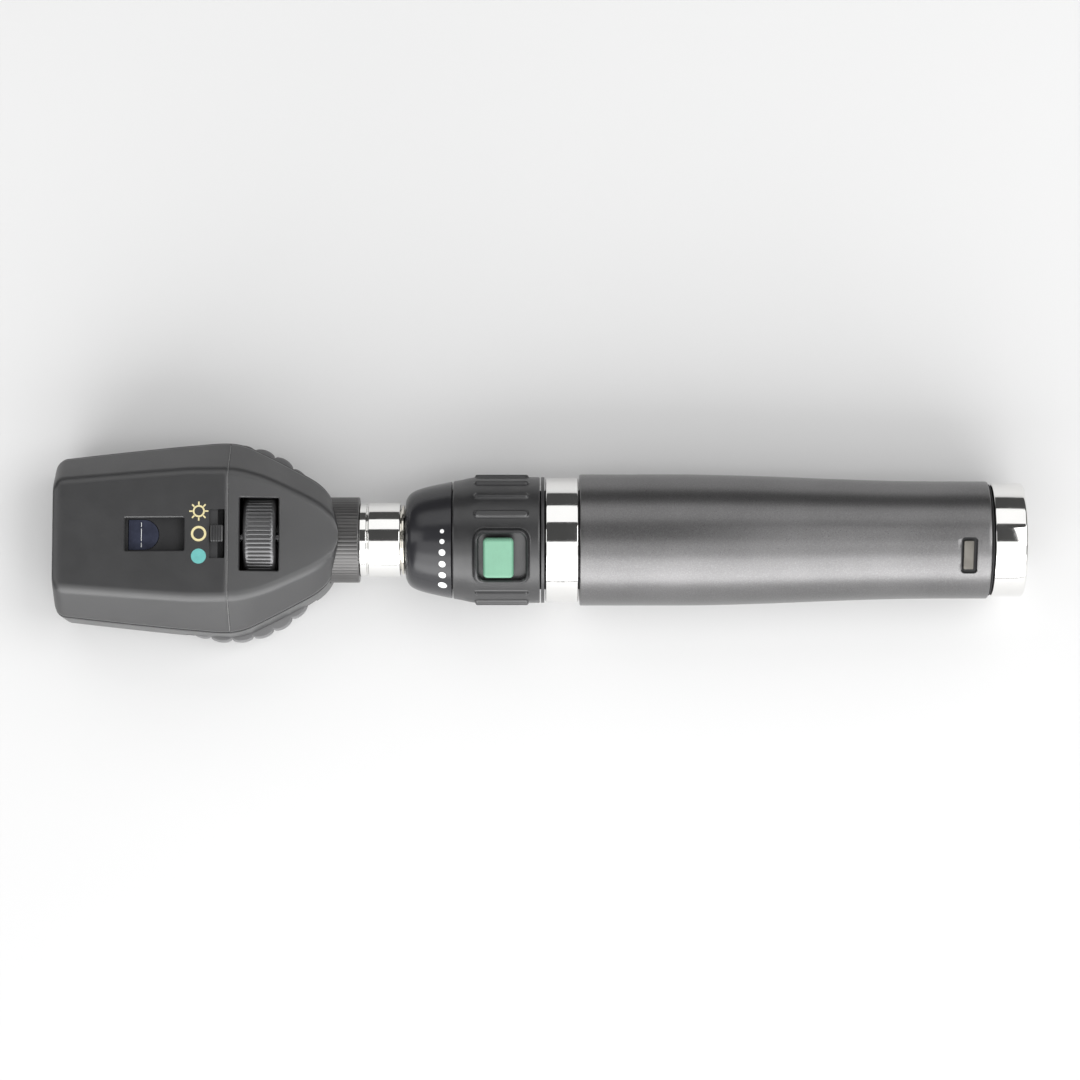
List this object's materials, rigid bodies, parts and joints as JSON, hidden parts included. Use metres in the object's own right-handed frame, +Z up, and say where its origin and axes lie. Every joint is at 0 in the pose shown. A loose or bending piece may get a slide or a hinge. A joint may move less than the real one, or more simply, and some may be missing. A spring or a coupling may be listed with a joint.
{
  "type": "ophthalmoscope",
  "caption": "Hand-held coaxial ophthalmoscope: optical head with lens wheel, aperture dial and filter switch on a round rechargeable grip with dimmer ring and lock button.",
  "frame": {"origin": "under the middle of the instrument, on the table that it lies on", "axes": "+X along the instrument's axis towards the tail of the grip, +Z up out of the head's front window, +Y across"},
  "size_m": [0.2338, 0.0486, 0.0329],
  "materials": {
    "shell_plastic": "satin charcoal, lightly textured",
    "black_plastic": "satin black",
    "gloss_black": "polished black",
    "black_rubber": "soft matte black",
    "chrome_trim": "polished chrome plate",
    "nickel_plate": "bright nickel plate, slightly warm",
    "spring_steel": "bright steel",
    "contact_brass": "turned brass",
    "anodised_grip": "bead-blasted, dark grey anodised",
    "collar_metal": "fluted, dark grey anodised",
    "button_green": "moulded green, satin",
    "clear_glass": "polished and clear",
    "coated_glass": "blue anti-reflection coating",
    "green_filter": "red-free filter glass",
    "silvered": "front-silvered",
    "track_board": "resistance track on board",
    "battery_wrap": "cell in a blue wrap"
  },
  "bodies": {
    "handle": {"bayonet_post": "nickel_plate", "post_washer": "nickel_plate", "contact_insulator": "black_plastic", "contact_spring": "spring_steel", "centre_conductor": "contact_brass", "nose_cone": "gloss_black", "core_sleeve": "black_plastic", "rheostat_track": "track_board", "grip_ring": "black_plastic", "front_band": "chrome_trim", "handle_tube": "anodised_grip", "side_contact": "nickel_plate", "battery": "battery_wrap", "battery_terminal": "nickel_plate"},
    "contact_pin": {"contact_pin": "contact_brass"},
    "control_ring": {"control_ring": "black_plastic", "rheostat_wiper": "contact_brass", "button_spring": "spring_steel"},
    "lock_button": {"lock_button": "button_green"},
    "tail_seal": {"tail_seal": "black_rubber"},
    "tail_cap": {"tail_cap": "chrome_trim", "tail_insert": "black_plastic", "charge_stud": "contact_brass", "battery_spring": "spring_steel"},
    "lamp": {"lamp_base": "nickel_plate", "lamp_insulator": "black_plastic", "lamp_contact": "contact_brass", "lamp_bulb": "clear_glass"},
    "head": {"front_cover_upper": "shell_plastic", "front_cover_lower": "shell_plastic", "rear_shell": "shell_plastic", "brow_rest": "black_rubber", "shell_screw_left": "spring_steel", "shell_screw_right": "spring_steel", "window_frame": "black_plastic", "window_glass": "coated_glass", "eyepiece_glass": "clear_glass", "readout_window": "clear_glass", "aperture_axle": "spring_steel", "lens_wheel_axle": "spring_steel", "detent_spring": "spring_steel", "optics_chassis": "black_plastic", "condenser_lens": "clear_glass", "projection_lens": "clear_glass", "mirror": "silvered", "bayonet_socket": "chrome_trim", "neck_collar": "collar_metal"},
    "lens_wheel": {"lens_wheel": "black_plastic", "lens_set": "clear_glass"},
    "aperture_dial": {"aperture_dial": "collar_metal", "aperture_disc": "spring_steel"},
    "filter_switch": {"filter_switch": "black_plastic", "red_free_filter": "green_filter", "polarising_filter": "clear_glass"}
  },
  "joints": [
    {"name": "head_pull", "type": "slide", "parent": "handle", "child": "lamp", "axis": [-1, 0, 0], "range_m": [0, 0.03]},
    {"name": "bayonet_twist", "type": "hinge", "parent": "lamp", "child": "head", "pos_m": [-0.04, 0, 0.0159], "axis": [1, 0, 0], "range_deg": [0, 35]},
    {"name": "lens_wheel_turn", "type": "hinge", "parent": "head", "child": "lens_wheel", "pos_m": [-0.07515, 0, 0.0067], "axis": [0, 0, 1], "continuous": true},
    {"name": "aperture_dial_turn", "type": "hinge", "parent": "head", "child": "aperture_dial", "pos_m": [-0.06715, 0, 0.0205], "axis": [1, 0, 0], "continuous": true},
    {"name": "filter_switch_slide", "type": "slide", "parent": "head", "child": "filter_switch", "axis": [0, 1, 0], "range_m": [-0.0037, 0.0037]},
    {"name": "control_ring_turn", "type": "hinge", "parent": "handle", "child": "control_ring", "pos_m": [-0.0105, 0, 0.0159], "axis": [1, 0, 0], "range_deg": [-25, 36]},
    {"name": "lock_button_press", "type": "slide", "parent": "control_ring", "child": "lock_button", "axis": [0, 0.3746, -0.9272], "range_m": [0, 0.001], "stiffness_N_per_m": 1500, "deforming": ["button_spring"]},
    {"name": "contact_pin_press", "type": "slide", "parent": "handle", "child": "contact_pin", "axis": [1, 0, 0], "range_m": [0, 0.0012], "stiffness_N_per_m": 800},
    {"name": "tail_cap_unscrew", "type": "hinge", "parent": "tail_seal", "child": "tail_cap", "pos_m": [0.111, 0, 0.0159], "axis": [1, 0, 0], "range_deg": [0, 1440.5]},
    {"name": "tail_cap_travel", "type": "slide", "parent": "handle", "child": "tail_seal", "axis": [1, 0, 0], "range_m": [0, 0.006]}
  ],
  "couplings": [
    {"joint": "tail_cap_unscrew", "follows": "tail_cap_travel", "rad_per_m": 4188.8}
  ]
}
